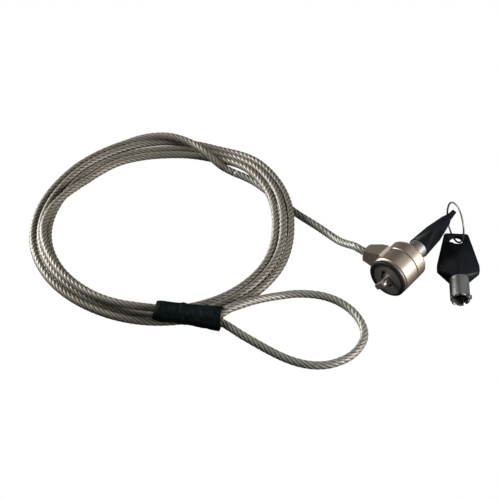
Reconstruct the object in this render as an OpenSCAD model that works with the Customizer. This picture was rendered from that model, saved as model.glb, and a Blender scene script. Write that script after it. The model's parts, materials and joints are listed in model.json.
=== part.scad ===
// Laptop cable lock: a swivelling tubular-key lock head on a plastic-covered steel
// cable that ends in a crimped loop, with two keys on a wire ring.
// The lock's axis is Y. The origin is where that axis crosses the front contact face.
// The key goes in from +Y, the T bar points to -Y, and the lock lies on z = floor_z.

/* [Barrel] */
// Outside diameter of the barrel
barrel_d = 20; // [18:0.5:24]
// Length of the swivel collar
collar_l = 9.2; // [8.6:0.2:12]
// Length of the lock head behind the collar
head_l = 6.5; // [6:0.5:10]
// Diameter of the lock's sleeve inside the collar
sleeve_d = 15.2; // [14.6:0.1:15.8]
// Radial clearance between the collar and the sleeve
swivel_clearance = 0.08; // [0.04:0.02:0.1]
// Gap at each end of the collar
collar_gap = 0.15; // [0.1:0.05:0.3]
// Chamfer on the barrel's edges
edge = 0.5; // [0.2:0.1:0.8]

/* [Front face] */
// Thickness of the rubber ring that touches the laptop
pad_t = 1.3; // [1:0.1:1.6]
// Width of the rubber ring
pad_w = 2; // [1.6:0.1:2.4]
// Thickness of the metal flange behind the rubber ring
flange_t = 1; // [0.8:0.1:1.4]
// How far the metal disc lies below the rubber's face
disc_recess = 0.35; // [0.2:0.05:0.6]
// Diameter of the well round the T bar
well_d = 7.2; // [6.8:0.1:7.8]
// Length of the assembly slot across the well
slot_l = 9.4; // [8:0.2:11]
// Width of the assembly slot
slot_w = 2.8; // [2.2:0.1:3]
// Roll angle of the assembly slot
slot_roll = 128; // [100:1:150]

/* [T bar] */
// Diameter of the T bar's stem
stem_d = 2.7; // [2.4:0.1:2.8]
// Clear length of the stem in front of the contact face
stem_reach = 4; // [2.6:0.1:4.4]
// Length of the T bar's head
tee_l = 6.6; // [6:0.1:6.8]
// Width of the T bar's head
tee_w = 2.6; // [2.2:0.1:2.8]
// Thickness of the T bar's head
tee_t = 1.9; // [1.4:0.1:2.2]
// Roll angle of the T bar's head in the open position
tee_roll = 48; // [30:1:60]
// Diameter of the collar at the T bar's root
root_d = 6; // [5.6:0.1:6.4]
// Thickness of that collar
root_t = 0.8; // [0.6:0.1:1]
// Diameter of the T bar's tang inside the plug
tang_d = 2.6; // [2.4:0.1:2.8]

/* [Tubular cylinder] */
// Diameter of the cylinder bore inside the sleeve
cylinder_d = 11.5; // [11.2:0.1:11.8]
// Number of pin stacks
pin_count = 7; // [5:1:8]
// Radius of the circle on which the pins stand
pin_circle_r = 4.2; // [4.1:0.05:4.3]
// Diameter of a pin
pin_d = 1.1; // [1:0.05:1.15]
// Length of a driver pin
driver_l = 2; // [1.6:0.1:2.4]
// Thickness of the plug's disc
plug_t = 4.4; // [4:0.1:5]
// Diameter of the plug's tail
tail_d = 4.6; // [4.2:0.1:4.8]
// Clearance of parts that turn or slide in each other
running = 0.05; // [0.02:0.01:0.08]
// Diameter of the post in the middle of the keyway
post_d = 7.1; // [6.9:0.05:7.15]

/* [Keys] */
// Outside diameter of a key's tube
tube_d = 9.5; // [9.3:0.1:9.6]
// Bore of a key's tube
tube_bore = 7.3; // [7.25:0.05:7.4]
// Length of the tube in front of the bow
tube_l = 12.4; // [12:0.2:15]
// Length of the bow
bow_l = 29; // [26:0.2:31]
// Width of the bow at its widest
bow_w = 20.4; // [19:0.2:20.6]
// Width of the bow at its tip
bow_tip_w = 12.4; // [11:0.2:14]
// Thickness of the bow at its tip and its edges
bow_t = 2.2; // [1.6:0.1:2.4]
// Thickness of the bow's middle at the ledge
ledge_t = 5.2; // [4:0.2:5.4]
// Diameter of the bow round the tube
hub_d = 10.6; // [10.4:0.2:12]
// Length of the bow's thick round middle
hub_l = 13; // [10:0.5:15]
// Length of the thin tip behind the bow's ledge
ledge = 7; // [6:0.5:9]
// Diameter of the hole for the ring
eye_d = 6.8; // [6.4:0.1:7]
// Distance from the eye to the bow's tip
eye_inset = 4.8; // [4.6:0.1:5.4]
// Roll angle of the key in the lock
key_roll = 70; // [60:1:70]
// Width of the guide nub on the tube
nub_w = 1.6; // [1.2:0.1:2]
// Height of the guide nub
nub_h = 0.7; // [0.4:0.1:0.8]

/* [Ring] */
// Diameter of the ring to the middle of its wire
ring_d = 20; // [19.4:0.2:21]
// Diameter of the ring's wire
ring_wire = 0.9; // [0.8:0.1:1]

/* [Cable] */
// Diameter of the cable over its plastic cover
cable_d = 3.8; // [3.6:0.1:3.9]
// Length of the heat-shrink sleeve at the loop
shrink_l = 32; // [30:1:36]
// Length of the crimp inside the sleeve
crimp_l = 25; // [20:1:26]
// Wall of the heat-shrink sleeve
shrink_wall = 0.8; // [0.5:0.1:1]

/* [Hidden] */
$fn = 64;

// places along the lock's axis, from the contact face backwards
flange_y = pad_t;
sleeve_y = flange_y + flange_t;
collar_y = sleeve_y + collar_gap;
head_y = collar_y + collar_l + 2 * collar_gap;
head_end = head_y + head_l;
shoulder_y = head_y + 2.95;
plug_face = shoulder_y - 0.15;
shear_y = plug_face - plug_t;
chamber_y = 4.05;
spring_y = chamber_y + 0.9;
tail_y = 1.75;
clip_y = 3.2;
stop_r = 3.05;
floor_z = -barrel_d / 2;

// key places: a key's own frame has its tube's end at 0 and its bow's tip at key_l
key_l = tube_l + bow_l;
key_y = plug_face + 0.05;
eye_at = key_l - eye_inset;
bow_wide_at = tube_l + 5.5;

// ring: its plane is upright and turned by ring_turn; it passes through both eyes
ring_r = ring_d / 2;
ring_turn = -35;
ring_dir = [cos(ring_turn), sin(ring_turn), 0];
eye_1 = [0.2, key_y + eye_at + 1.7, -0.1];
ring_rise = 5.8;
ring_mid = eye_1 + sqrt(ring_r * ring_r - ring_rise * ring_rise) * ring_dir + [0, 0, ring_rise];

// second key: it hangs on the ring by its eye and its tube's rim lies on the floor
hang = 5.7;
eye_2 = ring_mid + hang * ring_dir - [0.6, 0.5, sqrt(ring_r * ring_r - hang * hang)];
key_2_turn = -54;
key_2_pitch = asin((eye_2[2] - floor_z - tube_d / 2 - 0.15) / eye_at);

// neck of the collar and the cable's end in it
neck_end = -17.6;
neck_y = collar_y + collar_l / 2;
neck_z = 1.8;
ferrule_l = 6;
ferrule_x = neck_end + 2.8;

// ---- cable route -------------------------------------------------------------
cable_z = floor_z + cable_d / 2;
lead_route = [
    [ferrule_x, neck_y, neck_z], [-19.5, 7, 1.8], [-24, 7.6, 1.2], [-30, 9.2, -2], [-36, 11.6, -5.6],
    [-43, 13.9, -7.8], [-53, 15.2, cable_z], [-64, 15.9, cable_z], [-76, 17.1, cable_z],
    [-88, 18.8, cable_z], [-98, 19.9, cable_z], [-105, 20, cable_z], [-110.2, 19.8, cable_z]];

// coil: its first stretch crosses over the rest to the outside, then it winds inwards on
// the floor, and its last stretch climbs over the rest to the sleeve
coil_mid = [-114.2, -33.1];
coil_pitch = 3.95;
layer = 4.3;
coil_start = 90;
coil_end = 300;
straight = 4;
loop_rings = 24;
// angle, radius and height along the first stretch
cross_over = [
    [90, 52.9, cable_z], [95, 52.3, -7.1], [100, 52.6, -5.3], [107, 54.6, -4.2], [117, 59.2, -4.1],
    [127, 63, -4.1], [134, 65, -4.9], [142, 66.3, -6.5], [150, 66.5, -7.8], [160, 65.9, cable_z]];
// angle, and radius of the innermost strand plus its pitch, over one turn
inner_lane = [
    [90, 56.6], [98, 56], [107, 55.1], [117, 54.1], [130, 53.1], [145, 53.2], [157, 53.5], [173, 53.7],
    [192, 53.1], [209, 53.7], [228, 54.7], [250, 55.2], [280, 55.5], [305, 56.7], [340, 58.1],
    [360, 58.3], [380, 57.8], [397, 56.7], [420, 56.7]];
// angle, radius and height along the last stretch
climb_out = [
    [1253, 52.8, cable_z], [1261, 52.3, -7.5], [1270, 52.2, -5.8], [1281, 53.9, -4.5], [1292, 56.8, -4.2],
    [1305, 59.1, -4.2], [1330, 59.8, -4.2], [1350, 60.5, -3.8], [1365, 61.5, -2.8], [1373, 62.1, -2.2],
    [1380, 62.2, -2.1]];
// the sleeve lies over the coil, its bottom clear of the strands under it
shrink_w = 9.7;
shrink_h = 7.6;
shrink_z = floor_z + cable_d + 0.3 + shrink_h / 2;
shrink_turn = 30;
along = [cos(shrink_turn), sin(shrink_turn), 0];
across = [-sin(shrink_turn), cos(shrink_turn), 0];
leg_gap = cable_d / 2 + 0.05;
run_in = 9.5;
crimp_in = (shrink_l - crimp_l) / 2;

function ease(t) = t <= 0 ? 0 : t >= 1 ? 1 : t * t * (3 - 2 * t);
winding = concat(cross_over,
    [for (k = [0 : 3], w = inner_lane) let (a = 360 * k + w[0]) if (a > 165 && a < 1250)
        [a, w[1] + coil_pitch * (3 - (a - coil_start) / 360), cable_z]],
    climb_out);

// smooth curve through column k of the winding's rows
function row_at(a, i = 0) = i >= len(winding) - 2 || a < winding[i + 1][0] ? i : row_at(a, i + 1);
function slope(i, k) =
    i < 1 || i > len(winding) - 2 ? 0
        : (winding[i + 1][k] - winding[i - 1][k]) / (winding[i + 1][0] - winding[i - 1][0]);
function along_rows(a, k) =
    let (i = row_at(a), p = winding[i], q = winding[i + 1], h = q[0] - p[0], t = (a - p[0]) / h)
        p[k] * (1 - ease(t)) + q[k] * ease(t)
        + h * t * (1 - t) * ((1 - t) * slope(i, k) - t * slope(i + 1, k));
// every strand rises over the lead where that passes under the coil
function over_lead(a) = ease((a - 10) / 30) * (1 - ease((a - 76) / 30));
function coil_at(a) =
    let (r = along_rows(a, 1), z = along_rows(a, 2) + (a > 270 ? layer * over_lead(a % 360) : 0))
        [coil_mid[0] + r * cos(a), coil_mid[1] + r * sin(a), z];

coil_out = coil_at(coil_end + 1080);
sleeve_at = [coil_out[0], coil_out[1], shrink_z] + run_in * along - leg_gap * across;
coil_route = concat([coil_at(coil_start) + [straight, 0, 0]],
    [for (a = [coil_start : 5 : 160]) coil_at(a)],
    [for (a = [172.5 : 360 / loop_rings : 1240]) coil_at(a)],
    [for (a = [1250 : 10 : coil_end + 1080]) coil_at(a)],
    [coil_out + run_in / 2 * along, coil_out + (run_in + crimp_in) * along]);

// loop: out of the crimp, round, and back into it
loop_out = sleeve_at + (crimp_in + crimp_l) * along + leg_gap * across;
loop_back = loop_out - 2 * leg_gap * across;
loop_route = [
    loop_out, loop_out + 4 * along, [-44, -62, -2.1], [-43.2, -57, -2.8], [-42.4, -51, -4.1],
    [-41.2, -45, -5.7], [-39.2, -39, -7.2], [-36.4, -33.6, cable_z], [-32.6, -29, cable_z],
    [-27.5, -24.9, cable_z], [-21.5, -21.6, cable_z], [-14.5, -19.8, cable_z], [-7, -20, cable_z],
    [0, -22.2, cable_z], [5.6, -25.8, cable_z], [9.4, -30.6, cable_z], [11, -36, cable_z],
    [11.2, -42, cable_z], [9.4, -48.4, cable_z], [5.8, -54.4, cable_z], [1, -58.6, cable_z],
    [-5, -61.6, cable_z], [-12, -63.8, -7.6], [-19, -65.4, -6.5], [-26, -66.8, -5],
    [-33.2, -68, -3.6], [-39.4, -68.6, -2.5], loop_back + 4.5 * along, loop_back];

// least distance between strands that are not next to each other along the coil
coil_pts = [for (a = [coil_start : 5 : coil_end + 1080]) coil_at(a)];
coil_gap = min([for (i = [0 : len(coil_pts) - 1], j = [i + 45 : 1 : len(coil_pts) - 1])
    norm(coil_pts[i] - coil_pts[j])]) - cable_d;
function length_of(p, i = 0) = i >= len(p) - 1 ? 0 : norm(p[i + 1] - p[i]) + length_of(p, i + 1);
echo(coil_gap = coil_gap);
echo(lead = length_of(lead_route), coil = length_of(coil_route), loop = length_of(loop_route));

// ---- helpers -----------------------------------------------------------------
// local X points to roll in the face plane, local Z runs backwards along the lock
module on_axis(y = 0, roll = 0) {
    translate([0, y, 0]) rotate([-90, 0, 0]) rotate([0, 0, -roll]) children();
}

// revolved round the lock's axis from a half profile of [radius, y] points
module turned(profile) {
    on_axis() rotate_extrude() polygon(profile);
}

function unit(v) = v / norm(v);
function heading(p, i) = unit(p[min(i + 1, len(p) - 1)] - p[max(i - 1, 0)]);
function side_of(t) = unit(cross(abs(t[2]) > 0.99 ? [1, 0, 0] : [0, 0, 1], t));

// closed tube of flat-sided section along a route
module swept(route, d, sides) {
    n = len(route);
    rings = [for (i = [0 : n - 1]) let (t = heading(route, i), s = side_of(t), u = cross(t, s))
        for (k = [0 : sides - 1]) let (a = 360 * k / sides - 90)
            route[i] + d / 2 * (cos(a) * s + sin(a) * u)];
    walls = [for (i = [0 : n - 2], k = [0 : sides - 1])
        let (a = i * sides + k, b = i * sides + (k + 1) % sides) each [
            [a, a + sides, b], [b, a + sides, b + sides]]];
    first = [for (k = [1 : sides - 2]) [0, k, k + 1]];
    last = [for (k = [1 : sides - 2]) [(n - 1) * sides, (n - 1) * sides + k + 1, (n - 1) * sides + k]];
    polyhedron(points = rings, faces = concat(walls, first, last), convexity = 10);
}

// rounded bar section, w wide and h high
module stadium(w, h) {
    square([w - h, h], center = true);
    for (s = [-1, 1]) translate([s * (w - h) / 2, 0]) circle(d = h);
}

// places its children on each pin's axis
module at_pins(y) {
    for (i = [0 : pin_count - 1]) at_pin(i, y) children();
}

module at_pin(i, y) {
    on_axis(y, key_roll + 360 * (i + 0.5) / pin_count) translate([pin_circle_r, 0, 0]) children();
}

// ---- collar and cable --------------------------------------------------------
module neck() {
    half = collar_l / 2;
    intersection() {
        translate([0, neck_y, -barrel_d]) linear_extrude(2 * barrel_d) polygon([
            [-6, 1.1 - half], [-9.2, 1.1 - half], [neck_end + 0.8, -2.9], [neck_end, -2.1],
            [neck_end, 2.1], [neck_end + 0.8, 2.9], [-11.2, half], [-6, half]]);
        translate([0, neck_y + half, 0]) rotate([90, 0, 0]) linear_extrude(collar_l) polygon([
            [-6, -1.6], [-9, -1.6], [neck_end + 0.8, neck_z - 3], [neck_end, neck_z - 2.4],
            [neck_end, neck_z + 2.8], [neck_end + 1, neck_z + 3.6], [-7.6, 9], [-6, 8]]);
    }
}

module swivel_collar() {
    r = barrel_d / 2;
    end = collar_y + collar_l;
    color("tan") difference() {
        union() {
            turned([[0, collar_y], [r - edge, collar_y], [r, collar_y + edge],
                [r, end - edge / 2], [r - edge / 2, end], [0, end]]);
            neck();
        }
        on_axis(collar_y - 1) cylinder(d = sleeve_d + 2 * swivel_clearance, h = collar_l + 2);
        translate([neck_end - 1, neck_y, neck_z]) rotate([0, 90, 0]) cylinder(d = cable_d + 0.2, h = 8);
        translate([ferrule_x, neck_y, neck_z]) rotate([0, 90, 0]) cylinder(d = 5.2, h = 7);
    }
}

module end_ferrule() {
    color("silver") translate([ferrule_x + 0.02, neck_y, neck_z]) rotate([0, 90, 0])
        rotate_extrude() polygon([[0, 0], [2.2, 0], [2.5, 0.3], [2.5, ferrule_l - 0.8],
            [1.8, ferrule_l], [0, ferrule_l]]);
}

module cable_lead() {
    color("darkkhaki") swept(lead_route, cable_d, 8);
}

module cable_coil() {
    color("darkkhaki") swept(coil_route, cable_d, 6);
}

module cable_loop() {
    color("gray") swept(loop_route, cable_d, 8);
}

// children run along the sleeve from its left end
module at_sleeve(from = 0) {
    translate(sleeve_at + from * along) rotate([0, 0, shrink_turn]) rotate([90, 0, 90]) children();
}

module loop_crimp() {
    color("lightgray") at_sleeve(crimp_in) linear_extrude(crimp_l)
        stadium(shrink_w - 2 * shrink_wall - 0.04, shrink_h - 2 * shrink_wall - 0.04);
}

module loop_sleeve() {
    color("#101418") difference() {
        at_sleeve() linear_extrude(shrink_l) stadium(shrink_w, shrink_h);
        at_sleeve(-1) linear_extrude(shrink_l + 2)
            stadium(shrink_w - 2 * shrink_wall, shrink_h - 2 * shrink_wall);
    }
}

// ---- lock head ---------------------------------------------------------------
module nub_window() {
    span = 90 + 24;
    on_axis(shoulder_y - 1, key_roll + 180 + 102) rotate_extrude(angle = span)
        translate([tube_d / 2 - 0.5, 0])
            square([nub_h + 0.5 + 0.2, head_end - shoulder_y + 2]);
}

module lock_housing() {
    r = barrel_d / 2;
    color("tan") difference() {
        turned([[0, sleeve_y], [sleeve_d / 2, sleeve_y], [sleeve_d / 2, head_y], [r - edge / 2, head_y],
            [r, head_y + edge / 2], [r, head_end - 1], [r - 0.25, head_end - 0.85],
            [r - 0.25, head_end - 0.6], [r, head_end - 0.45], [r - 0.4, head_end], [0, head_end]]);
        on_axis(sleeve_y - 1) cylinder(d = cylinder_d, h = shoulder_y - sleeve_y + 1);
        on_axis(shoulder_y - 1) cylinder(d = tube_d + 0.3, h = head_end - shoulder_y + 2);
        nub_window();
        dowel_hole();
    }
}

module dowel_hole() {
    translate([0, chamber_y + 2.5, 0]) cylinder(d = 1.24, h = barrel_d);
}

module front_flange() {
    color("gray") difference() {
        union() {
            turned([[0, disc_recess], [barrel_d / 2 - pad_w - 0.25, disc_recess],
                [barrel_d / 2 - pad_w - 0.05, disc_recess + 0.2], [barrel_d / 2 - pad_w - 0.05, flange_y],
                [barrel_d / 2 - 0.4, flange_y], [barrel_d / 2 - 0.4, sleeve_y], [0, sleeve_y]]);
            on_axis(sleeve_y - 0.2) cylinder(d = cylinder_d - 0.04, h = chamber_y - sleeve_y + 0.15);
        }
        on_axis(-1) cylinder(d = well_d, h = 2 + sleeve_y);
        on_axis(disc_recess - 1, slot_roll) translate([-slot_l / 2, -slot_w / 2, 0])
            cube([slot_l, slot_w, 1 + sleeve_y - disc_recess - 0.4]);
        on_axis(sleeve_y - 0.3) cylinder(d = cylinder_d - 2.4, h = 4);
    }
}

module contact_ring() {
    r = barrel_d / 2 - 0.1;
    color("#181818") turned([[r - pad_w + 0.1, 0.2], [r - pad_w + 0.3, 0], [r - 0.5, 0], [r, 0.5],
        [r, flange_y], [r - pad_w + 0.1, flange_y]]);
}

module pin_chamber() {
    color("goldenrod") difference() {
        on_axis(chamber_y) cylinder(d = cylinder_d - 0.04, h = shear_y - chamber_y - 0.03);
        on_axis(chamber_y - 1) cylinder(d = tail_d + 2 * running, h = 12);
        at_pins(spring_y) cylinder(d = pin_d + 0.1, h = 10, $fn = 24);
        dowel_hole();
        stop_hole();
    }
}

module stop_hole() {
    on_axis(shear_y - 2, key_roll) translate([stop_r, 0, 0]) cylinder(d = 0.74, h = 4, $fn = 24);
}

module chamber_dowel() {
    color("silver") translate([0, chamber_y + 2.5, cylinder_d / 2 - 0.75])
        cylinder(d = 1.2, h = (sleeve_d - cylinder_d) / 2 + 0.65, $fn = 32);
}

module stop_pin() {
    color("silver") on_axis(shear_y - 1.95, key_roll) translate([stop_r, 0, 0])
        cylinder(d = 0.7, h = 2.8, $fn = 24);
}

module driver_pins() {
    color("gold") at_pins(shear_y - 0.04 - driver_l) cylinder(d = pin_d, h = driver_l, $fn = 24);
}

// one spring, wound as a helix between the bottom of its hole and its driver
module pin_spring(l, turns = 5, wire = 0.16) {
    r = pin_d / 2 - wire / 2;
    steps = turns * 8;
    swept([for (i = [0 : steps]) [r * cos(45 * i), r * sin(45 * i),
        wire / 2 + 0.02 + (l - wire - 0.04) * i / steps]], wire, 4);
}

module pin_springs() {
    color("silver") at_pins(spring_y) pin_spring(shear_y - 0.04 - driver_l - spring_y);
}

// ---- plug and T bar ----------------------------------------------------------
module lock_plug() {
    color("darkgoldenrod") difference() {
        turned([[0, tail_y], [tail_d / 2 - 0.2, tail_y], [tail_d / 2, tail_y + 0.2], [tail_d / 2, clip_y],
            [tail_d / 2 - 0.4, clip_y], [tail_d / 2 - 0.4, clip_y + 0.65], [tail_d / 2, clip_y + 0.65],
            [tail_d / 2, shear_y], [cylinder_d / 2 - running, shear_y],
            [cylinder_d / 2 - running, plug_face], [post_d / 2, plug_face],
            [post_d / 2, head_end - 1.1], [post_d / 2 - 0.5, head_end - 0.6], [0, head_end - 0.6]]);
        at_pins(shear_y - 1) cylinder(d = pin_d + 0.1, h = plug_t + 2, $fn = 24);
        on_axis(tail_y - 1) cylinder(d = tang_d + 0.04, h = 6.3);
        on_axis(shear_y - 1, key_roll + 12) rotate_extrude(angle = 114)
            translate([stop_r - 0.43, 0]) square([0.86, 2]);
        t_bar_pin_shape(0.04);
    }
}

// cross pin through the plug's tail and the T bar's tang
module t_bar_pin_shape(extra = 0) {
    on_axis(tail_y + 0.75, tee_roll) rotate([0, 90, 0])
        cylinder(d = 0.8 + extra, h = tail_d - 0.2 + extra, center = true, $fn = 24);
}

module key_pins() {
    color("gold") for (i = [0 : pin_count - 1]) at_pin(i, shear_y)
        cylinder(d = pin_d, h = key_y - shear_y + cut_depths[i] - 0.03, $fn = 24);
}

module t_bar() {
    root_y = tail_y - 0.05 - root_t;
    color("gainsboro") difference() {
        union() {
            on_axis(-stem_reach) cylinder(d = stem_d, h = stem_reach + root_y + 0.1);
            on_axis(root_y) cylinder(d = root_d, h = root_t);
            on_axis(root_y + root_t - 0.1) cylinder(d = tang_d, h = 5.2);
            on_axis(-stem_reach - tee_t, tee_roll) tee_head();
        }
        t_bar_pin_shape(0.04);
    }
}

// head of the T bar: a bar with round ends and bevelled front edges
module tee_head() {
    intersection() {
        linear_extrude(tee_t) stadium(tee_l, tee_w);
        rotate([90, 0, 0]) linear_extrude(tee_w, center = true) polygon([
            [-tee_l / 2, tee_t], [-tee_l / 2, 0.5], [-tee_l / 2 + 0.5, 0],
            [tee_l / 2 - 0.5, 0], [tee_l / 2, 0.5], [tee_l / 2, tee_t]]);
    }
}

module t_bar_pin() {
    color("silver") t_bar_pin_shape();
}

module tail_clip() {
    color("dimgray") on_axis(clip_y + 0.02) difference() {
        cylinder(d = tail_d + 2.4, h = 0.6);
        translate([0, 0, -1]) cylinder(d = tail_d - 0.76, h = 3);
        translate([-1.4, -6, -1]) cube([2.8, 6, 3]);
    }
}

// ---- keys and ring -----------------------------------------------------------
// depth of the cut that each pin stands in
cut_depths = [1.2, 0.6, 1.8, 0.9, 1.5, 0.6, 1.2, 0.9];

// key frame: tube along +X from its end at 0, bow flat in XY
module key_tube() {
    difference() {
        rotate([0, 90, 0]) rotate_extrude() polygon([[tube_bore / 2, 0.25], [tube_bore / 2 + 0.25, 0],
            [tube_d / 2 - 0.35, 0], [tube_d / 2, 0.35], [tube_d / 2, tube_l + 5],
            [tube_bore / 2, tube_l + 5]]);
        for (i = [0 : pin_count - 1]) rotate([-360 * (i + 0.5) / pin_count, 0, 0])
            translate([-1, pin_circle_r + 0.3, 0]) rotate([0, 90, 0])
                cylinder(r = 0.95, h = 1 + cut_depths[i], $fn = 24);
    }
    translate([1.4, -tube_d / 2 - nub_h, -nub_w / 2]) cube([1.6, nub_h + 0.4, nub_w]);
}

// outline of the bow: widest near the tube, straight to a blunt tip, round corners
module bow_outline() {
    t = bow_tip_w / 2;
    hull() {
        translate([tube_l + 1, 0]) square([2, hub_d - 2], center = true);
        bow_sides();
        for (s = [-1, 1]) translate([key_l - 1.8, s * (t - 1.8)]) circle(r = 1.8, $fn = 32);
    }
}

module bow_sides() {
    w = bow_w / 2;
    for (s = [-1, 1]) {
        translate([bow_wide_at, s * (w - 1.5)]) circle(r = 1.5, $fn = 32);
        translate([bow_wide_at + 3, s * (w - 1.5)]) circle(r = 1.5, $fn = 32);
    }
}

// thick round the tube, thin at the sides, with a ledge before the thin tip
module bow_body() {
    at = key_l - ledge;
    half = bow_tip_w / 2 + (bow_w - bow_tip_w) / 2 * ledge / (bow_l - 8.5) - 0.3;
    hull() {
        translate([tube_l, 0, 0]) rotate([0, 90, 0])
            cylinder(d1 = hub_d, d2 = hub_d - 1.4, h = hub_l, $fn = 32);
        translate([0, 0, -bow_t / 2]) linear_extrude(bow_t) bow_sides();
        translate([at - 1, 0, 0]) cube([2, half, ledge_t], center = true);
        translate([at - 1, 0, 0]) cube([2, 2 * half, bow_t + 0.6], center = true);
    }
}

module key_bow() {
    difference() {
        union() {
            translate([0, 0, -bow_t / 2]) linear_extrude(bow_t) bow_outline();
            bow_body();
        }
        translate([tube_l - 1, 0, 0]) rotate([0, 90, 0]) cylinder(d = tube_d + 0.04, h = 6.02);
        translate([eye_at, 0, -hub_d]) cylinder(d = eye_d, h = 2 * hub_d);
    }
}

// key 1 sits in the lock; its frame's X runs along +Y
module in_lock() {
    on_axis(key_y, key_roll) rotate([0, -90, -90]) children();
}

// key 2 hangs on the ring and lies with its tube's end on the floor
module on_ring() {
    translate(eye_2) rotate([0, 0, key_2_turn]) rotate([0, key_2_pitch, 0])
        translate([eye_at, 0, 0]) rotate([0, 0, 180]) children();
}

module key_1_tube() {
    color("silver") in_lock() key_tube();
}

module key_1_bow() {
    color("#202226") in_lock() key_bow();
}

module key_2_tube() {
    color("silver") on_ring() key_tube();
}

module key_2_bow() {
    color("#202226") on_ring() key_bow();
}

module key_ring() {
    color("silver") translate(ring_mid) rotate([0, 0, ring_turn]) rotate([90, 0, 0])
        rotate_extrude($fn = 96) translate([ring_r, 0]) circle(d = ring_wire, $fn = 24);
}

swivel_collar();
end_ferrule();
cable_lead();
cable_coil();
cable_loop();
loop_crimp();
loop_sleeve();
lock_housing();
front_flange();
contact_ring();
pin_chamber();
chamber_dowel();
stop_pin();
driver_pins();
pin_springs();
lock_plug();
key_pins();
t_bar();
t_bar_pin();
tail_clip();
key_1_tube();
key_1_bow();
key_ring();
key_2_tube();
key_2_bow();
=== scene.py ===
"""Looks of the laptop cable lock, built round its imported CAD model.

The camera and the cable come first, then the finishes of the CAD nodes, then the pieces that
take the place of CAD nodes whose surface needs more than CAD gives them: the wrinkled
heat-shrink sleeve and the moulded key bows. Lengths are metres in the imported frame, except
where a docstring says millimetres.
"""

import json
import logging
import math
from dataclasses import dataclass, field
from enum import Enum
from typing import Dict, List, Optional, Sequence, Tuple

import bpy
import numpy as np
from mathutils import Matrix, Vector

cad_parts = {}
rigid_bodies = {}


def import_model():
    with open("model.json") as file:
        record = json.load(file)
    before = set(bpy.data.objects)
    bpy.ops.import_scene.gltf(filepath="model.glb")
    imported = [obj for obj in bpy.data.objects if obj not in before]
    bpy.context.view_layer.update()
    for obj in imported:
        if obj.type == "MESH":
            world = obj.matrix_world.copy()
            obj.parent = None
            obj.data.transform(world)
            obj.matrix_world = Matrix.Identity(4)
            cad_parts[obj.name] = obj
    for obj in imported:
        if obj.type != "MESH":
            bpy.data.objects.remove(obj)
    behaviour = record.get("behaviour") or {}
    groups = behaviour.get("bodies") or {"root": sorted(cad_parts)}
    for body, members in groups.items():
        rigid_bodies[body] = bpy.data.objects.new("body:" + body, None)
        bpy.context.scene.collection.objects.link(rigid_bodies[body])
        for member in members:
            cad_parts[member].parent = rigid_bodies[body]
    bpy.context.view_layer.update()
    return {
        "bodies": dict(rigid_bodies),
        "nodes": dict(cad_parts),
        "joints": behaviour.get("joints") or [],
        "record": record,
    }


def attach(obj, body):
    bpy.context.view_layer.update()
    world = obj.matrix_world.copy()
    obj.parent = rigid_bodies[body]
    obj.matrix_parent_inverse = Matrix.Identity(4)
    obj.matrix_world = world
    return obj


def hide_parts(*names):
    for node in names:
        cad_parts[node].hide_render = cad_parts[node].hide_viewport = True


log = logging.getLogger("cable_lock")

MM = 0.001
FULL_TURN = 2 * math.pi
SLEEVE_TURN = math.radians(30.0)
STRANDS = 6
ROPE_MAP = "along"

Point = Tuple[float, float, float]
Colour = Tuple[float, float, float, float]


class Body(str, Enum):
    """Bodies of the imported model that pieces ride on."""

    COLLAR = "collar"
    KEY_1 = "key_1"
    KEY_2 = "key_2"


class Slot(str, Enum):
    """Material slots of the record."""

    BARREL = "barrel_metal"
    FACE = "face_metal"
    RUBBER = "contact_rubber"
    TEE = "t_bar_steel"
    FERRULE = "ferrule_metal"
    CABLE = "cable_cover"
    SHRINK = "sleeve_shrink"
    CHAMBER = "chamber_brass"
    PIN_BRASS = "pin_brass"
    PIN_STEEL = "pin_steel"
    CLIP = "clip_steel"
    KEY_METAL = "key_metal"
    KEY_PLASTIC = "key_plastic"
    RING = "ring_wire"


# --------------------------------------------------------------------------- camera and light


def aim(obj: bpy.types.Object, place: Point, target: Point) -> None:
    """Puts a camera or a lamp at a place and turns it to a target.

    Args:
        obj: The camera or lamp.
        place: Position in metres.
        target: Point that it looks at, in metres.
    """
    obj.location = place
    look = Vector(target) - Vector(place)
    obj.rotation_euler = look.to_track_quat("-Z", "Y").to_euler()


@dataclass(frozen=True)
class CameraSpec:
    """Where the camera stands and what lens it has.

    Attributes:
        place: Position in metres.
        target: Point on the middle of the picture, in metres.
        lens: Focal length in millimetres.
        sensor: Width of the sensor in millimetres.
        reach: Nearest and farthest distance that it sees, in metres.
    """

    place: Point = (0.2080, -0.3577, 0.4284)
    target: Point = (-0.0691, -0.0179, -0.0100)
    lens: float = 89.7
    sensor: float = 36.0
    reach: Tuple[float, float] = (0.01, 10.0)

    def build(self) -> bpy.types.Object:
        """Adds the camera and makes it the scene's own.

        Returns:
            The camera object.
        """
        data = bpy.data.cameras.new("camera")
        data.lens = self.lens
        data.sensor_width = self.sensor
        data.clip_start, data.clip_end = self.reach
        camera = bpy.data.objects.new("camera", data)
        bpy.context.scene.collection.objects.link(camera)
        aim(camera, self.place, self.target)
        bpy.context.scene.camera = camera
        return camera


@dataclass(frozen=True)
class Lamp:
    """A soft box that shines at one point.

    Attributes:
        name: Name of the lamp.
        place: Position in metres.
        target: Point that it shines at, in metres.
        size: Width and height of the box in metres.
        power: Power in watts.
        colour: Colour of the light.
    """

    name: str
    place: Point
    target: Point
    size: Tuple[float, float]
    power: float
    colour: Point

    def build(self) -> bpy.types.Object:
        """Adds the lamp.

        Returns:
            The lamp object.
        """
        data = bpy.data.lights.new(self.name, "AREA")
        data.shape = "RECTANGLE"
        data.size, data.size_y = self.size
        data.energy = self.power
        data.color = self.colour
        lamp = bpy.data.objects.new(self.name, data)
        bpy.context.scene.collection.objects.link(lamp)
        aim(lamp, self.place, self.target)
        return lamp


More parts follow.
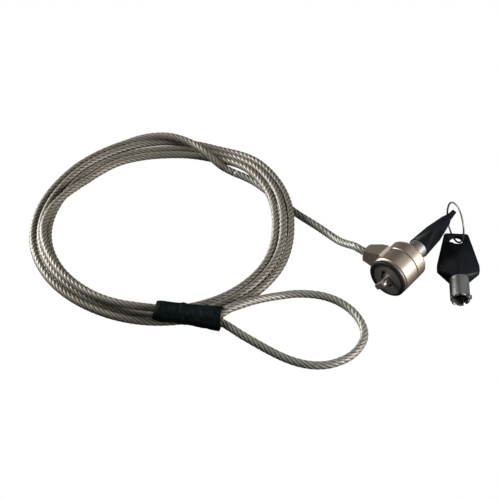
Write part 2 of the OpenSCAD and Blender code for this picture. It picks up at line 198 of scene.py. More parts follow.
LAMPS: Sequence[Lamp] = (
    Lamp("head", (0.045, 0.15, 0.24), (0.0, 0.02, 0.0), (0.14, 0.14), 0.05, (1.0, 0.92, 0.84)),
    Lamp("left", (-0.80, -0.22, 0.25), (-0.08, -0.02, 0.0), (0.32, 0.40), 10.0, (1.0, 0.985, 0.95)),
    Lamp("right", (0.62, 0.20, 0.25), (-0.06, -0.02, 0.0), (0.40, 0.36), 6.6, (1.0, 0.97, 0.93)),
    Lamp("front", (0.36, -0.50, 0.22), (-0.04, -0.02, 0.0), (0.30, 0.30), 0.25, (1.0, 0.98, 0.95)),
)


class Nodes:
    """Small helper round a node tree, so that a shader reads as a list of steps."""

    def __init__(self, tree: bpy.types.NodeTree) -> None:
        """Keeps the tree.

        Args:
            tree: The node tree to add to.
        """
        self.tree = tree

    def add(
        self, kind: str, inputs: Optional[Dict[str, object]] = None, **settings: object
    ) -> bpy.types.Node:
        """Adds a node.

        Args:
            kind: The node's type name.
            inputs: Input name to a value, or to a socket that is linked to it.
            **settings: Attributes of the node, such as its operation.

        Returns:
            The new node.
        """
        node = self.tree.nodes.new(kind)
        for name, value in settings.items():
            setattr(node, name, value)
        for name, value in (inputs or {}).items():
            self.feed(node.inputs[int(name)] if name.isdigit() else node.inputs[name], value)
        return node

    def feed(self, socket: bpy.types.NodeSocket, value: object) -> None:
        """Links a socket to an output, or sets its value.

        Args:
            socket: The input socket.
            value: An output socket, or a plain value.
        """
        if isinstance(value, bpy.types.NodeSocket):
            self.tree.links.new(value, socket)
        else:
            socket.default_value = value

    def math(self, operation: str, a: object, b: object = 0.0) -> bpy.types.NodeSocket:
        """Adds a math node.

        Args:
            operation: Its operation.
            a: First value or socket.
            b: Second value or socket.

        Returns:
            Its output.
        """
        return self.add("ShaderNodeMath", {"0": a, "1": b}, operation=operation).outputs[0]

    def ramp(
        self, factor: object, low: float, high: float, a: float = 0.0, b: float = 1.0
    ) -> bpy.types.NodeSocket:
        """Maps a value from one range to another, smoothly and clamped.

        Args:
            factor: Value or socket to map.
            low: Value that gives a.
            high: Value that gives b.
            a: Result at low.
            b: Result at high.

        Returns:
            The mapped value.
        """
        node = self.add(
            "ShaderNodeMapRange",
            {"Value": factor, "From Min": low, "From Max": high, "To Min": a, "To Max": b},
            interpolation_type="SMOOTHSTEP",
        )
        return node.outputs["Result"]

    def mix(self, factor: object, a: object, b: object) -> bpy.types.NodeSocket:
        """Mixes two colours.

        Args:
            factor: How much of b.
            a: First colour or socket.
            b: Second colour or socket.

        Returns:
            The mixed colour.
        """
        node = self.add("ShaderNodeMix", data_type="RGBA")
        for index, value in ((0, factor), (6, a), (7, b)):  # the colour sockets of a mix node
            self.feed(node.inputs[index], value)
        return node.outputs[2]


def rgb(r: float, g: float, b: float) -> Colour:
    """Makes an opaque colour.

    Args:
        r: Red.
        g: Green.
        b: Blue.

    Returns:
        The colour with its alpha.
    """
    return (r, g, b, 1.0)


def build_world() -> None:
    """Makes a studio of soft greys: white to the camera, graded to everything else."""
    wall, ceiling = rgb(0.03, 0.029, 0.028), rgb(0.06, 0.059, 0.057)
    floor = rgb(0.035, 0.035, 0.033)
    world = bpy.data.worlds.new("studio")
    bpy.context.scene.world = world
    world.use_nodes = True
    world.node_tree.nodes.clear()
    n = Nodes(world.node_tree)
    where = n.add("ShaderNodeTexCoord").outputs["Generated"]
    up = n.add("ShaderNodeSeparateXYZ", {"Vector": where}).outputs["Z"]
    graded = n.mix(n.ramp(up, 0.55, 1.0), wall, ceiling)
    room = n.mix(n.ramp(up, -0.1, 0.05), floor, graded)
    soft = n.add("ShaderNodeBackground", {"Color": room, "Strength": 0.8})
    white = n.add("ShaderNodeBackground", {"Color": rgb(1, 1, 1), "Strength": 1.0})
    seen = n.add("ShaderNodeLightPath").outputs["Is Camera Ray"]
    both = n.add("ShaderNodeMixShader", {"0": seen, "1": soft.outputs[0], "2": white.outputs[0]})
    n.add("ShaderNodeOutputWorld", {"Surface": both.outputs[0]})


# --------------------------------------------------------------------------- shared effects


def effect(
    name: str, inputs: Dict[str, float], outputs: Dict[str, str]
) -> Tuple[bpy.types.NodeTree, Nodes, bpy.types.Node, bpy.types.Node]:
    """Starts a node group with named sockets.

    Args:
        name: Name of the group.
        inputs: Socket name to its default value.
        outputs: Socket name to its kind, Float or Vector.

    Returns:
        The group, its helper, its input node and its output node.
    """
    group = bpy.data.node_groups.new(name, "ShaderNodeTree")
    for label, value in inputs.items():
        socket = group.interface.new_socket(label, in_out="INPUT", socket_type="NodeSocketFloat")
        socket.default_value = value
    for label, kind in outputs.items():
        group.interface.new_socket(label, in_out="OUTPUT", socket_type="NodeSocket" + kind)
    n = Nodes(group)
    return group, n, n.add("NodeGroupInput"), n.add("NodeGroupOutput")


class Effects:
    """Node groups that several finishes share."""

    def __init__(self) -> None:
        """Builds the groups."""
        self.wear = self._wear()
        self.turned = self._turned()
        self.rope = self._rope()

    @staticmethod
    def _wear() -> bpy.types.NodeTree:
        """Fine mottling of colour and roughness, and a slight unevenness of the surface."""
        group, n, i, o = effect(
            "wear",
            {"Scale": 900.0, "Strength": 0.2, "Height": 0.00002},
            {"Mask": "Float", "Normal": "Vector"},
        )
        where = n.add("ShaderNodeTexCoord").outputs["Object"]
        scale, strength, height = (i.outputs[name] for name in ("Scale", "Strength", "Height"))
        fine = n.add("ShaderNodeTexNoise", {"Vector": where, "Scale": scale, "Detail": 4.0})
        broad = n.add("ShaderNodeTexNoise", {"Vector": where, "Scale": 140.0, "Detail": 2.0})
        grain = fine.outputs["Fac"]
        mixed = n.math("MULTIPLY", grain, n.math("ADD", broad.outputs["Fac"], 0.5))
        n.feed(o.inputs["Mask"], n.ramp(mixed, 0.3, 0.75))
        bump = n.add("ShaderNodeBump", {"Strength": strength, "Distance": height, "Height": grain})
        n.feed(o.inputs["Normal"], bump.outputs[0])
        return group

    @staticmethod
    def _turned() -> bpy.types.NodeTree:
        """Fine rings round the lock's axis, as a lathe and a brush leave them."""
        group, n, i, o = effect("turned", {"Strength": 0.3}, {"Mask": "Float", "Normal": "Vector"})
        where = n.add("ShaderNodeTexCoord").outputs["Object"]
        x, y, z = n.add("ShaderNodeSeparateXYZ", {"Vector": where}).outputs
        radius = n.math("SQRT", n.math("ADD", n.math("MULTIPLY", x, x), n.math("MULTIPLY", z, z)))
        along = n.math("ADD", y, n.math("MULTIPLY", radius, 1.7))
        turn = n.math("MULTIPLY", n.math("ARCTAN2", z, x), 0.0011)
        place = n.add("ShaderNodeCombineXYZ", {"X": along, "Y": turn, "Z": 0.0}).outputs[0]
        noise = {"Vector": place, "Scale": 5200.0, "Detail": 3.0, "Roughness": 0.6}
        lines = n.add("ShaderNodeTexNoise", noise).outputs["Fac"]
        n.feed(o.inputs["Mask"], n.ramp(lines, 0.3, 0.7))
        strength = i.outputs["Strength"]
        bump = n.add("ShaderNodeBump", {"Strength": strength, "Distance": 0.00002, "Height": lines})
        n.feed(o.inputs["Normal"], bump.outputs[0])
        return group

    @staticmethod
    def _rope() -> bpy.types.NodeTree:
        """Wires of a steel rope, on the cable's own map: U round its strands, V metres along."""
        group, n, i, o = effect(
            "rope",
            {"Wires": 24.0, "Lay": 260.0},
            {"Groove Shade": "Float", "Crown Highlight": "Float", "Normal": "Vector"},
        )
        place = n.add("ShaderNodeUVMap", uv_map=ROPE_MAP).outputs["UV"]
        u, v, _ = n.add("ShaderNodeSeparateXYZ", {"Vector": place}).outputs
        lobe = n.math("ABSOLUTE", n.math("COSINE", n.math("MULTIPLY", u, STRANDS / 2 * FULL_TURN)))
        # Mask of the painted shade in the grooves between the strands: 0 where two strands meet, 1
        # on a strand.
        groove_shade = n.ramp(lobe, 0.0, 0.62)
        round_it = n.math("MULTIPLY", u, i.outputs["Wires"])
        turn = n.math("ADD", round_it, n.math("MULTIPLY", v, i.outputs["Lay"]))
        # Mask of the painted highlight on the wires' crowns (1) and the painted shade between the
        # wires (0); it also drives the real bump below.
        wire = n.ramp(n.math("SINE", n.math("MULTIPLY", turn, FULL_TURN)), -0.9, 0.9)
        n.feed(o.inputs["Groove Shade"], groove_shade)
        n.feed(o.inputs["Crown Highlight"], wire)
        bump = n.add("ShaderNodeBump", {"Strength": 0.3, "Distance": 0.00006, "Height": wire})
        n.feed(o.inputs["Normal"], bump.outputs[0])
        return group


# --------------------------------------------------------------------------- finishes


@dataclass
class Finish:
    """One material built from the shared effects.

    Attributes:
        name: Name of the material.
        slot: Slot of the record that it belongs to.
        colour: Base colour where the surface is clean.
        dark: Base colour in its darker mottling.
        metallic: Metallic value.
        rough: Lowest and highest roughness.
        effect: Which shared effect gives the mask and the normal.
        strength: Strength of that effect.
        scale: Scale of its mottling.
        specular: Specular level.
        material: The material, once it has been built.
    """

    name: str
    slot: Slot
    colour: Point
    dark: Point
    metallic: float
    rough: Tuple[float, float]
    effect: str = "wear"
    strength: float = 0.2
    scale: float = 900.0
    specular: float = 0.5
    material: Optional[bpy.types.Material] = field(default=None, repr=False)

    def build(self, effects: Effects) -> bpy.types.Material:
        """Makes the material once.

        Args:
            effects: The shared node groups.

        Returns:
            The material.
        """
        if self.material is not None:
            return self.material
        material = bpy.data.materials.new(self.name)
        material.use_nodes = True
        material.node_tree.nodes.clear()
        n = Nodes(material.node_tree)
        group = n.tree.nodes.new("ShaderNodeGroup")
        group.node_tree = getattr(effects, self.effect)
        group.inputs["Strength"].default_value = self.strength
        if "Scale" in group.inputs:
            group.inputs["Scale"].default_value = self.scale
        mask = group.outputs["Mask"]
        colour = n.mix(mask, rgb(*self.dark), rgb(*self.colour))
        rough = n.ramp(mask, 0.0, 1.0, self.rough[1], self.rough[0])
        surface = n.add(
            "ShaderNodeBsdfPrincipled",
            {
                "Base Color": colour,
                "Metallic": self.metallic,
                "Roughness": rough,
                "Normal": group.outputs["Normal"],
                "Specular IOR Level": self.specular,
            },
        )
        n.add("ShaderNodeOutputMaterial", {"Surface": surface.outputs[0]})
        self.material = material
        return material


@dataclass
class RopeFinish:
    """Steel rope under a clear glossy cover.

    Attributes:
        name: Name of the material.
        crown_highlight: Colour on the wires' crowns of a strand, a painted highlight.
        wire_shade: Colour between the wires, a painted shade; random patches also fade to it.
        groove_shade: Colour between the strands, a painted shade in the grooves.
    """

    name: str
    crown_highlight: Point
    wire_shade: Point
    groove_shade: Point

    def build(self, effects: Effects) -> bpy.types.Material:
        """Makes the material.

        Args:
            effects: The shared node groups.

        Returns:
            The material.
        """
        material = bpy.data.materials.new(self.name)
        material.use_nodes = True
        material.node_tree.nodes.clear()
        n = Nodes(material.node_tree)
        rope = n.tree.nodes.new("ShaderNodeGroup")
        rope.node_tree = effects.rope
        where = n.add("ShaderNodeTexCoord").outputs["Object"]
        noise = n.add("ShaderNodeTexNoise", {"Vector": where, "Scale": 55.0, "Detail": 2.0})
        patch = noise.outputs["Fac"]
        # Painted highlight on the wires' crowns and painted shade between them, then random patches
        # towards the shade colour.
        wires = n.mix(rope.outputs["Crown Highlight"], rgb(*self.wire_shade), rgb(*self.crown_highlight))
        tinted = n.mix(n.ramp(patch, 0.35, 0.7, 0.0, 0.35), wires, rgb(*self.wire_shade))
        # Painted shade in the grooves between the strands, laid over the rest.
        colour = n.mix(rope.outputs["Groove Shade"], rgb(*self.groove_shade), tinted)
        surface = n.add(
            "ShaderNodeBsdfPrincipled",
            {
                "Base Color": colour,
                "Metallic": 0.3,
                "Roughness": 0.5,
                "Normal": rope.outputs["Normal"],
                "Coat Weight": 0.3,
                "Coat Roughness": 0.28,
            },
        )
        n.add("ShaderNodeOutputMaterial", {"Surface": surface.outputs[0]})
        return material


FINISHES: Dict[Slot, Finish] = {
    f.slot: f
    for f in (
        Finish(
            "satin nickel", Slot.BARREL, (0.60, 0.53, 0.455), (0.51, 0.44, 0.37), 1.0, (0.42, 0.52),
            effect="turned", strength=0.10,
        ),
        Finish(
            "cast face", Slot.FACE, (0.33, 0.32, 0.29), (0.22, 0.21, 0.19), 0.85, (0.42, 0.6),
            strength=0.5, scale=2500.0,
        ),
        Finish(
            "black rubber", Slot.RUBBER, (0.008, 0.008, 0.008), (0.014, 0.0135, 0.013), 0.0,
            (0.55, 0.7), specular=0.3,
        ),
        Finish(
            "t bar steel", Slot.TEE, (0.58, 0.52, 0.47), (0.45, 0.40, 0.36), 1.0, (0.4, 0.54),
            strength=0.06,
        ),
        Finish("ferrule", Slot.FERRULE, (0.72, 0.72, 0.72), (0.6, 0.6, 0.6), 1.0, (0.3, 0.45)),
        Finish(
            "heat shrink", Slot.SHRINK, (0.0015, 0.0045, 0.0065), (0.004, 0.008, 0.010), 0.0,
            (0.36, 0.5), specular=0.2,
        ),
        Finish(
            "chamber brass", Slot.CHAMBER, (0.72, 0.55, 0.27), (0.6, 0.44, 0.2), 1.0, (0.25, 0.4)
        ),
        Finish("pin brass", Slot.PIN_BRASS, (0.8, 0.63, 0.33), (0.68, 0.52, 0.25), 1.0, (0.2, 0.3)),
        Finish(
            "pin steel", Slot.PIN_STEEL, (0.75, 0.75, 0.76), (0.62, 0.62, 0.64), 1.0, (0.18, 0.3)
        ),
        Finish("clip steel", Slot.CLIP, (0.09, 0.09, 0.1), (0.06, 0.06, 0.065), 0.8, (0.35, 0.5)),
        Finish(
            "key nickel", Slot.KEY_METAL, (0.42, 0.43, 0.43), (0.33, 0.34, 0.34), 1.0, (0.42, 0.54),
            strength=0.05,
        ),
        Finish(
            "key plastic", Slot.KEY_PLASTIC, (0.003, 0.006, 0.010), (0.007, 0.010, 0.014), 0.0,
            (0.4, 0.52), strength=0.3, scale=3200.0, specular=0.25,
        ),
        Finish(
            "ring wire", Slot.RING, (0.30, 0.30, 0.31), (0.24, 0.24, 0.25), 1.0, (0.42, 0.52),
            strength=0.02,
        ),
    )
}

# Two copies of the one covered rope, lighter and darker as painted light: "ends" is painted lighter
# for the lead and the loop, "main" darker as painted shade for the coil.
ROPES: Dict[str, RopeFinish] = {
    "main": RopeFinish(
        "covered rope", (0.44, 0.41, 0.345), (0.17, 0.16, 0.13), (0.024, 0.023, 0.019)
    ),
    "ends": RopeFinish(
        "covered rope, ends", (0.54, 0.52, 0.47), (0.22, 0.212, 0.19), (0.034, 0.033, 0.030)
    ),
}


# --------------------------------------------------------------------------- cable routes


def ease(t: float) -> float:
    """Smooth step from 0 to 1.

    Args:
        t: Where along the step.

    Returns:
        The eased value.
    """
    t = min(max(t, 0.0), 1.0)
    return t * t * (3 - 2 * t)


def spaced(first: float, last: float, step: float) -> List[float]:
    """Counts up evenly.

    Args:
        first: First value.
        last: Value not to pass.
        step: Distance between values.

    Returns:
        The values.
    """
    return [first + step * i for i in range(int((last - first) / step + 1e-6) + 1)]


@dataclass(frozen=True)
class Coil:
    """The coil's route, a little closer wound than the solid's, in millimetres and degrees.

    Angles count on from turn to turn.

    Attributes:
        mid: Middle of the coil, in plan.
        pitch: Distance from turn to turn.
        stagger: How much higher every other turn lies.
        spread: How much further apart the turns lie under the crossing.
        layer: How far the turns rise where they pass over the lead.
        clear: Radius added to every turn.
        turns: Number of turns begun.
        start: First angle.
        end: Last angle.
        plain: Angles between which the turns lie in their lanes.
        floor_z: Height of a cable that lies on the floor.
        cross_over: Angle, radius and height where the cable crosses over the other turns.
        inner_lane: Angle and radius of the innermost turn.
        climb_out: Angle, radius and height where the cable climbs to the sleeve.
    """

    mid: Tuple[float, float] = (-114.2, -33.1)
    pitch: float = 3.82
    stagger: float = 0.7
    spread: float = 1.6
    layer: float = 4.3
    clear: float = 0.2
    turns: int = 4
    start: float = 90.0
    end: float = 1380.0
    plain: Tuple[float, float] = (165, 1250)
    floor_z: float = -8.1
    cross_over: Sequence[Point] = (
        (90, 52.9, -8.1), (95, 52.3, -7.1), (100, 52.6, -5.3), (107, 54.6, -3.4),
        (117, 59.2, -3.1), (127, 63, -3.3), (134, 65, -4.3), (142, 66.3, -6.0),
        (150, 66.4, -7.7), (160, 65.7, -8.1),
    )
    inner_lane: Sequence[Tuple[float, float]] = (
        (90, 56.6), (98, 56), (107, 55.1), (117, 54.1), (130, 53.1), (145, 53.2), (157, 53.5),
        (173, 53.7), (192, 53.1), (209, 53.7), (228, 54.7), (250, 55.2), (280, 55.5), (305, 56.7),
        (340, 58.1), (360, 58.3), (380, 57.8), (397, 56.7), (420, 56.7),
    )
    climb_out: Sequence[Point] = (
        (1253, 52.8, -8.1), (1261, 52.3, -7.5), (1270, 52.2, -5.8), (1281, 53.9, -4.5),
        (1292, 56.8, -4.2), (1305, 59.1, -4.2), (1330, 59.8, -4.2), (1350, 60.5, -3.8),
        (1365, 61.5, -2.8), (1373, 62.1, -2.2), (1380, 62.2, -2.1),
    )

    def winding(self) -> np.ndarray:
        """Rows of angle, radius and height from end to end."""
        rows = list(self.cross_over)
        for turn in range(self.turns):
            for angle, lane in self.inner_lane:
                a = 360 * turn + angle
                if self.plain[0] < a < self.plain[1]:
                    outer = self.turns - 1 - (a - self.start) / 360
                    bulge = self.spread * outer * self._under_crossing(a)
                    radius = lane + self.clear + self.pitch * outer + bulge
                    rows.append((a, radius, self.floor_z + self.stagger * self._raised(a)))
        return np.array(rows + list(self.climb_out), float)

    @staticmethod
    def _under_crossing(a: float) -> float:
        """How fully an angle lies under the crossing, from 0 to 1."""
        middle, width = 134, 22
        return math.exp(-(((a % 360 - middle) / width) ** 2))

    @staticmethod
    def _raised(a: float) -> float:
        """Which turns are the raised ones, from 0 to 1; all lie flat beside the sleeve."""
        up, down, up_again, ramp = 430, 790, 1150, 70
        raised = ease((a - up) / ramp) - ease((a - down) / ramp) + ease((a - up_again) / ramp)
        near_sleeve, past_sleeve = 272, 338
        flat = ease((a % 360 - near_sleeve) / 24) * (1 - ease((a % 360 - past_sleeve) / 16))
        return raised * (1 - flat)

    @staticmethod
    def _over_lead(a: float) -> float:
        """How fully a turn is lifted over the lead, from 0 to 1; the first half turn isn't."""
        up, down, ramp = 10, 76, 30
        if a <= 270:
            return 0.0
        return ease((a % 360 - up) / ramp) * (1 - ease((a % 360 - down) / ramp))

    def at(self, a: float, rows: np.ndarray) -> Point:
        """Point at an angle.

        Args:
            a: Angle in degrees, counting on from turn to turn.
            rows: The winding's rows.

        Returns:
            The point in millimetres.
        """
        i = int(np.clip(np.searchsorted(rows[:, 0], a, side="right") - 1, 0, len(rows) - 2))
        slopes = np.zeros((2, 3))
        for n, k in enumerate((i, i + 1)):
            if 0 < k < len(rows) - 1:
                slopes[n] = (rows[k + 1] - rows[k - 1]) / (rows[k + 1, 0] - rows[k - 1, 0])
        span = rows[i + 1, 0] - rows[i, 0]
        t = (a - rows[i, 0]) / span
        row = rows[i] * (1 - ease(t)) + rows[i + 1] * ease(t)
        row = row + span * t * (1 - t) * ((1 - t) * slopes[0] - t * slopes[1])
        angle = math.radians(a)
        return (
            self.mid[0] + row[1] * math.cos(angle),
            self.mid[1] + row[1] * math.sin(angle),
            row[2] + self.layer * self._over_lead(a),
        )

    def route(self) -> List[Point]:
        """The whole coil with its straight ends.

        Returns:
            Points in millimetres.
        """
        rows = self.winding()
        fine, coarse = 2.5, 5
        crossing = spaced(self.start, 160, fine)
        lanes = spaced(self.plain[0], 1245, coarse)
        climb = spaced(1247.5, self.end, fine)
        points = [self.at(a, rows) for a in crossing + lanes + climb]
        first, last = points[0], points[-1]
        back_to_lead = (4, 0.3)
        points.insert(0, (first[0] + back_to_lead[0], first[1] + back_to_lead[1], first[2]))
        along = (math.cos(SLEEVE_TURN), math.sin(SLEEVE_TURN), 0.0)
        for far in (3.0, 6.5, 13.0):
            points.append(tuple(last[k] + far * along[k] for k in range(3)))
        return points


# Centrelines of the free lead and of the end loop, in millimetres.
LEAD: Sequence[Point] = (
    (-14.8, 7.05, 1.8), (-19.5, 7, 1.8), (-24, 7.6, 1.2), (-30, 9.2, -2), (-36, 11.6, -5.6),
    (-43, 13.9, -7.8), (-53, 15.2, -8.1), (-64, 15.9, -8.1), (-76, 17.5, -8.1), (-88, 19.8, -8.1),
    (-98, 21.1, -8.1), (-105, 20.8, -8.1), (-110.2, 20.1, -8.1),
)

LOOP: Sequence[Point] = (
    (-50.191, -67.967, -2.1), (-48.5, -66.8, -1.7), (-47.1, -64.6, -1.0), (-46.1, -61.2, -0.6),
    (-44.8, -57, -1.3), (-43.1, -51, -2.7), (-41.5, -45, -4.7), (-39.3, -39, -6.6),
    (-36.4, -33.6, -7.9), (-32.6, -29, -8.1), (-27.5, -24.9, -8.1), (-21.5, -21.6, -8.1),
    (-14.5, -19.8, -8.1), (-7, -20, -8.1), (0, -22.2, -8.1), (5.6, -25.8, -8.1),
    (9.4, -30.6, -8.1), (11, -36, -8.1), (11.2, -42, -8.1), (9.4, -48.4, -8.1),
    (5.8, -54.4, -8.1), (1, -58.6, -8.1), (-5, -61.6, -8.1), (-12, -63.8, -7.6),
    (-19, -65.4, -6.5), (-26, -66.8, -5), (-33.2, -68, -3.6), (-39.4, -68.6, -2.5),
    (-44.344, -69.094, -2.1), (-48.241, -71.344, -2.1),
)


def travelled(points: np.ndarray, power: float = 1.0) -> np.ndarray:
    """Distance travelled along a line, up to each of its points.

    Args:
        points: The line's points, one per row.
        power: Power that each step's length is raised to.

    Returns:
        The distances, from 0.
    """
    steps = np.linalg.norm(np.diff(points, axis=0), axis=1)
    return np.concatenate([[0], np.cumsum(steps ** power)])


def smooth(route: Sequence[Point], step: float) -> np.ndarray:
    """Runs a centripetal curve through a route and samples it evenly.

    Args:
        route: Points in millimetres.
        step: Distance between samples in millimetres.

    Returns:
        Samples in metres, one per row.
    """
    p = np.array(route, float)
    p = np.vstack([2 * p[0] - p[1], p, 2 * p[-1] - p[-2]])
    knots = travelled(p, 0.5)
    dense = []
    for i in range(1, len(p) - 2):
        t0, t1, t2, t3 = knots[i - 1 : i + 3]
        for t in np.linspace(t1, t2, 12, endpoint=False):
            a = (t1 - t) / (t1 - t0) * p[i - 1] + (t - t0) / (t1 - t0) * p[i]
            b = (t2 - t) / (t2 - t1) * p[i] + (t - t1) / (t2 - t1) * p[i + 1]
            c = (t3 - t) / (t3 - t2) * p[i + 1] + (t - t2) / (t3 - t2) * p[i + 2]
            d = (t2 - t) / (t2 - t0) * a + (t - t0) / (t2 - t0) * b
            e = (t3 - t) / (t3 - t1) * b + (t - t1) / (t3 - t1) * c
            dense.append((t2 - t) / (t2 - t1) * d + (t - t1) / (t2 - t1) * e)
    dense.append(p[-2])
    q = np.array(dense)
    run = travelled(q)
    even = np.linspace(0, run[-1], max(2, int(round(run[-1] / step))) + 1)
    return np.stack([np.interp(even, run, q[:, k]) for k in range(3)], axis=1) * MM


def carried_frames(points: np.ndarray) -> Tuple[np.ndarray, np.ndarray]:
    """Carries a pair of directions along a line without letting them twist.

    Args:
        points: Samples of the line.

    Returns:
        First and second directions across the line, one row per sample.
    """
    tangents = np.gradient(points, axis=0)
    tangents /= np.linalg.norm(tangents, axis=1)[:, None]
    side = np.cross((0.0, 0.0, 1.0), tangents[0])
    side /= np.linalg.norm(side)
    sides = [side]
    for t in tangents[1:]:
        side = sides[-1] - t * np.dot(sides[-1], t)
        sides.append(side / np.linalg.norm(side))
    sides = np.array(sides)
    return sides, np.cross(tangents, sides)


@dataclass
class Cable:
    """A stretch of covered steel rope with six strands that wind round it.

    Attributes:
        name: Name of the piece.
        node: CAD node that it takes the place of.
        points: Its centreline in metres.
        finish: Name of its rope finish.
        far_end: What its far end is; not used.
        lay_form: How it lies; not used.
        start_at: Metres of rope before this stretch, so that the strands run on.
        diameter: Diameter over the strands' crowns.
        depth: Depth of the grooves between the strands.
        strand_lay: Distance along the rope in which a strand goes round once.
        sides: Number of points round it, a multiple of twice the strands.
    """

    name: str
    node: str
    points: np.ndarray
    finish: str
    far_end: str
    lay_form: str
    start_at: float = 0.0
    diameter: float = 3.92 * MM
    depth: float = 0.26 * MM
    strand_lay: float = 17.0 * MM
    sides: int = 24

    @property
    def length(self) -> float:
        """Length of the centreline in metres."""
        return float(np.linalg.norm(np.diff(self.points, axis=0), axis=1).sum())

    def build(self, effects: Effects, with_pieces: Sequence[object]) -> bpy.types.Object:
        """Args:
            effects: The shared node groups.
            with_pieces: Pieces that are on this stretch; not used.

        Returns:
            The tube.
        """
        run = travelled(self.points) + self.start_at
        mesh = bpy.data.meshes.new(self.name)
        faces = self._faces()
        mesh.from_pydata(self._rings(run).reshape(-1, 3).tolist(), [], faces)
        mesh.uv_layers.new(name=ROPE_MAP).data.foreach_set("uv", self._map(run, len(mesh.loops)))
        mesh.polygons.foreach_set("use_smooth", [True] * (len(faces) - 2) + [False, False])
        mesh.materials.append(ROPES[self.finish].build(effects))
        tube = bpy.data.objects.new(self.name, mesh)
        bpy.context.scene.collection.objects.link(tube)
        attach(tube, Body.COLLAR.value)
        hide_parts(self.node)
        log.info("%s is %.1f mm long", self.name, self.length / MM)
        return tube

    def _rings(self, run: np.ndarray) -> np.ndarray:
        """Points of the skin: a ring of them at each sample, turned with the strands.

        Args:
            run: Metres of rope up to each sample.

        Returns:
            Points by sample and by place round the ring.
        """
        side, up = carried_frames(self.points)
        k = np.arange(self.sides)
        lobe = np.abs(np.cos(STRANDS / 2 * FULL_TURN * k / self.sides))
        radius = self.diameter / 2 - self.depth * (1 - np.sqrt(lobe))
        angle = FULL_TURN * (k[None, :] / self.sides + run[:, None] / self.strand_lay)
        return (
            self.points[:, None, :]
            + (radius * np.cos(angle))[:, :, None] * side[:, None, :]
            + (radius * np.sin(angle))[:, :, None] * up[:, None, :]
        )

    def _faces(self) -> List[Tuple[int, ...]]:
        """Faces of the skin from ring to ring, then the start cap and the end cap."""
        count, sides = len(self.points), self.sides
        faces = []
        for i in range(count - 1):
            a, b = i * sides, (i + 1) * sides
            for j in range(sides):
                q = (j + 1) % sides
                faces.append((a + j, a + q, b + q, b + j))
        faces.append(tuple(range(sides))[::-1])
        faces.append(tuple((count - 1) * sides + j for j in range(sides)))
        return faces

    def _map(self, run: np.ndarray, loops: int) -> np.ndarray:
        """The map along the rope, in the order of the skin's faces; the caps get none.

        Args:
            run: Metres of rope up to each sample.
            loops: Number of face corners of the whole mesh.

        Returns:
            U and V by turns, for every face corner.
        """
        data = np.zeros((loops, 2), np.float32)
        cursor = 0
        for near, far in zip(run[:-1], run[1:]):
            for j in range(self.sides):
                left, right = j / self.sides, (j + 1) / self.sides
                data[cursor : cursor + 4] = ((left, near), (right, near), (right, far), (left, far))
                cursor += 4
        return data.reshape(-1)


# --------------------------------------------------------------------------- modelled pieces


def select_only(obj: bpy.types.Object) -> None:
    """Selects one object and makes it active.

    Args:
        obj: The object.
    """
    bpy.ops.object.select_all(action="DESELECT")
    obj.select_set(True)
    bpy.context.view_layer.objects.active = obj


def smooth_by_angle(obj: bpy.types.Object, degrees: float) -> None:
    """Shades an object smooth except at its sharp edges.

    Args:
        obj: The object.
        degrees: Angle above which an edge stays sharp.
    """
    select_only(obj)
    bpy.ops.object.shade_smooth_by_angle(angle=math.radians(degrees))


# The sleeve's creases: where along it, width, depth in millimetres, and slant.
CREASES: Sequence[Tuple[float, float, float, float]] = (
    (0.09, 0.020, 0.20, 0.03), (0.19, 0.016, 0.16, -0.04), (0.28, 0.024, 0.18, 0.05),
    (0.37, 0.014, 0.24, -0.02), (0.48, 0.020, 0.26, 0.03), (0.60, 0.026, 0.14, 0.06),
    (0.72, 0.016, 0.20, -0.05), (0.83, 0.022, 0.16, 0.03), (0.92, 0.014, 0.14, -0.03),
)


